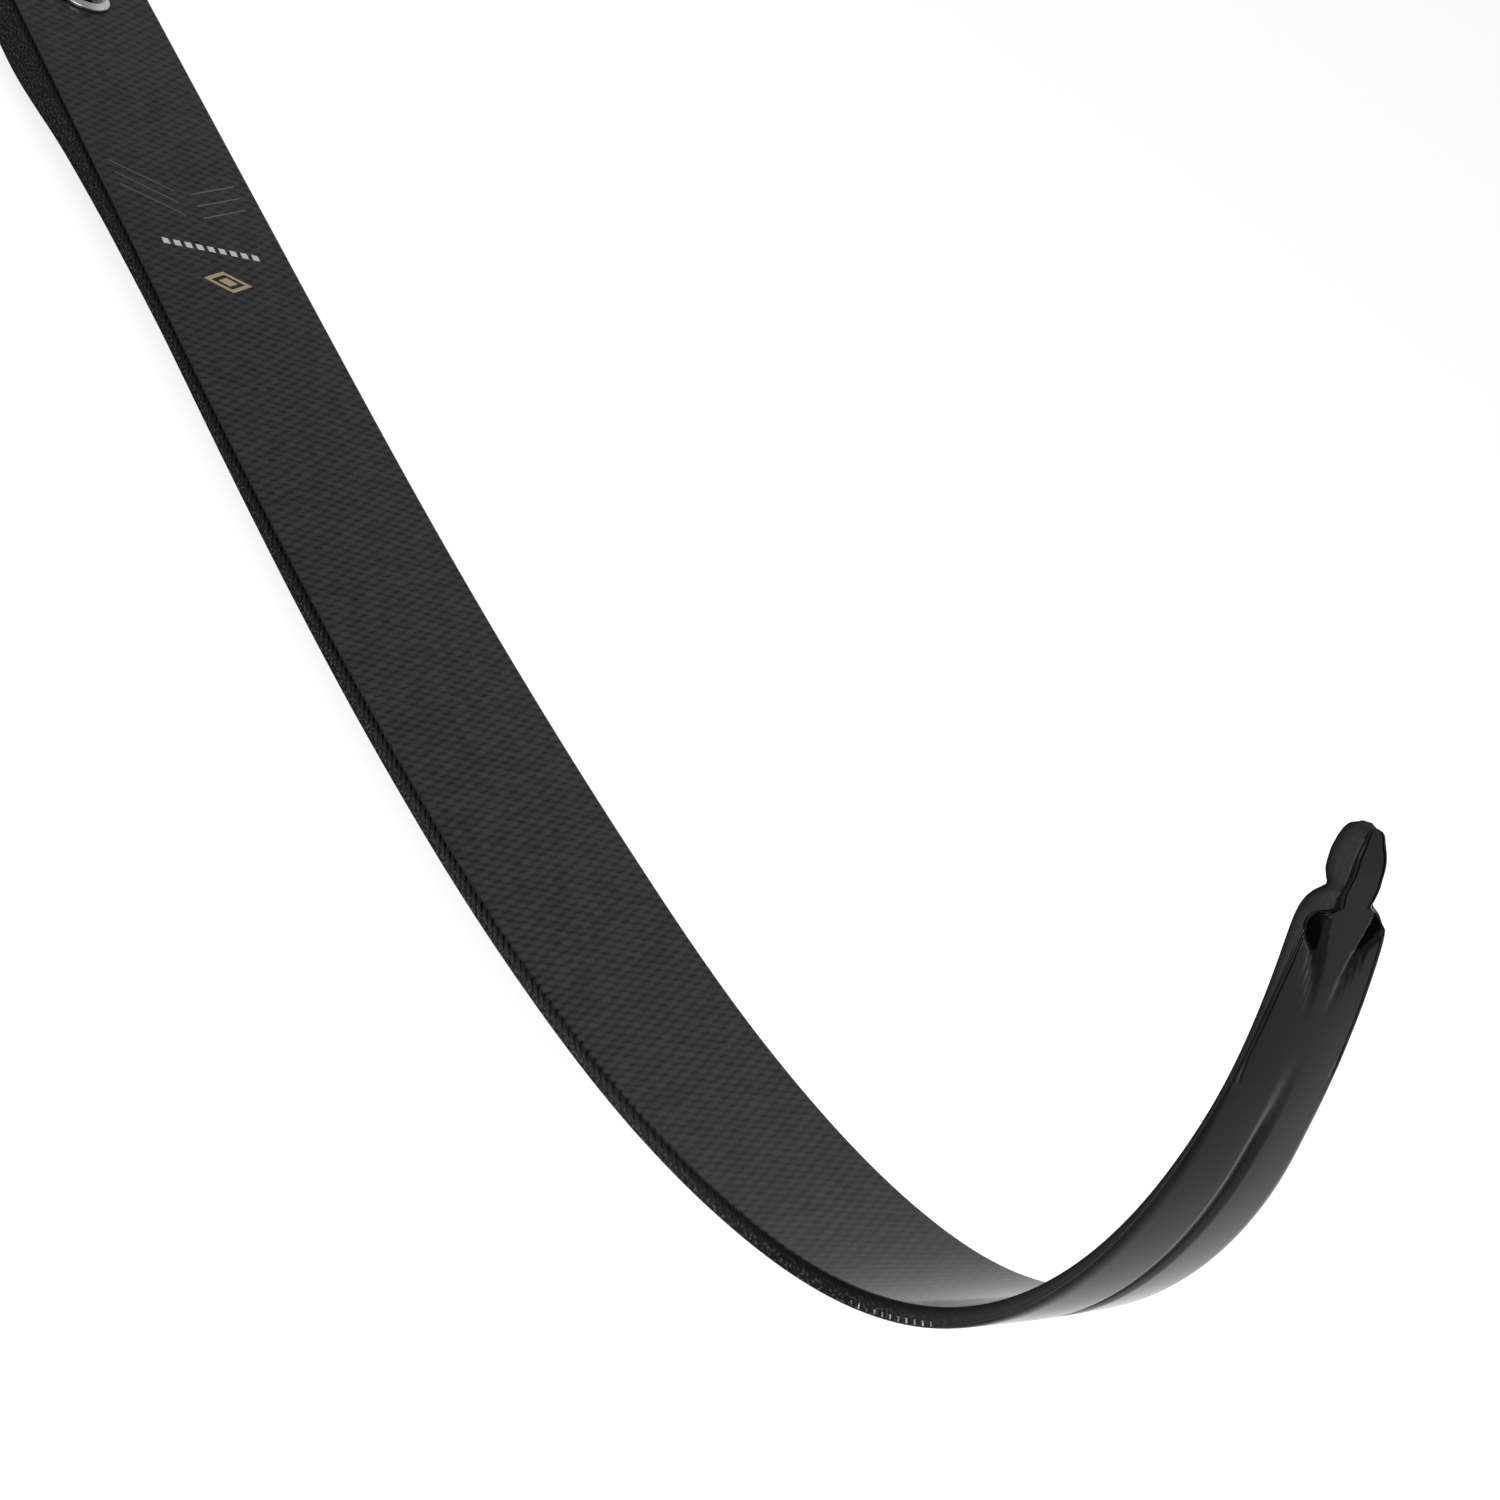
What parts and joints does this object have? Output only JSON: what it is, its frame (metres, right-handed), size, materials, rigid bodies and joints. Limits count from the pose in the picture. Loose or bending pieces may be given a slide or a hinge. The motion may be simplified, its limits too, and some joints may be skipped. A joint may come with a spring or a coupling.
{
  "type": "recurve bow limb",
  "caption": "Laminated take-down recurve bow limb: woven carbon back, grooved belly, notched string tip, slotted butt and a dovetail fitting with a sprung detent pin.",
  "frame": {"origin": "on the flat belly side of the butt, on its centre line, 40 mm from the butt end", "axes": "+X from the butt toward the tip, +Y across the blade, +Z toward the back, the side that faces the target"},
  "size_m": [0.5354, 0.0444, 0.1722],
  "materials": {
    "woven_carbon": "woven carbon cloth under clear satin resin",
    "straight_carbon": "straight-fibre carbon lamina",
    "core_maple": "ground, glued maple",
    "satin_belly": "smooth satin black",
    "tip_laminate": "polished black laminate",
    "bright_steel": "turned stainless steel",
    "spring_steel": "drawn spring wire",
    "dark_steel": "black oxide"
  },
  "bodies": {
    "limb": {"woven_skin": "woven_carbon", "back_lamina": "straight_carbon", "core_back": "core_maple", "butt_wedge": "core_maple", "core_belly": "core_maple", "tip_wedge": "core_maple", "belly_lamina": "straight_carbon", "belly_skin": "satin_belly", "nock_overlay": "tip_laminate", "dovetail_bushing": "bright_steel", "retainer_ring": "bright_steel", "detent_spring": "spring_steel", "cup_washer": "bright_steel", "fitting_screw": "dark_steel"},
    "detent": {"detent_pin": "bright_steel"}
  },
  "joints": [
    {"name": "detent_press", "type": "slide", "parent": "limb", "child": "detent", "axis": [0, 0, 1], "range_m": [0, 0.0024], "stiffness_N_per_m": 1200, "deforming": ["detent_spring"]}
  ]
}
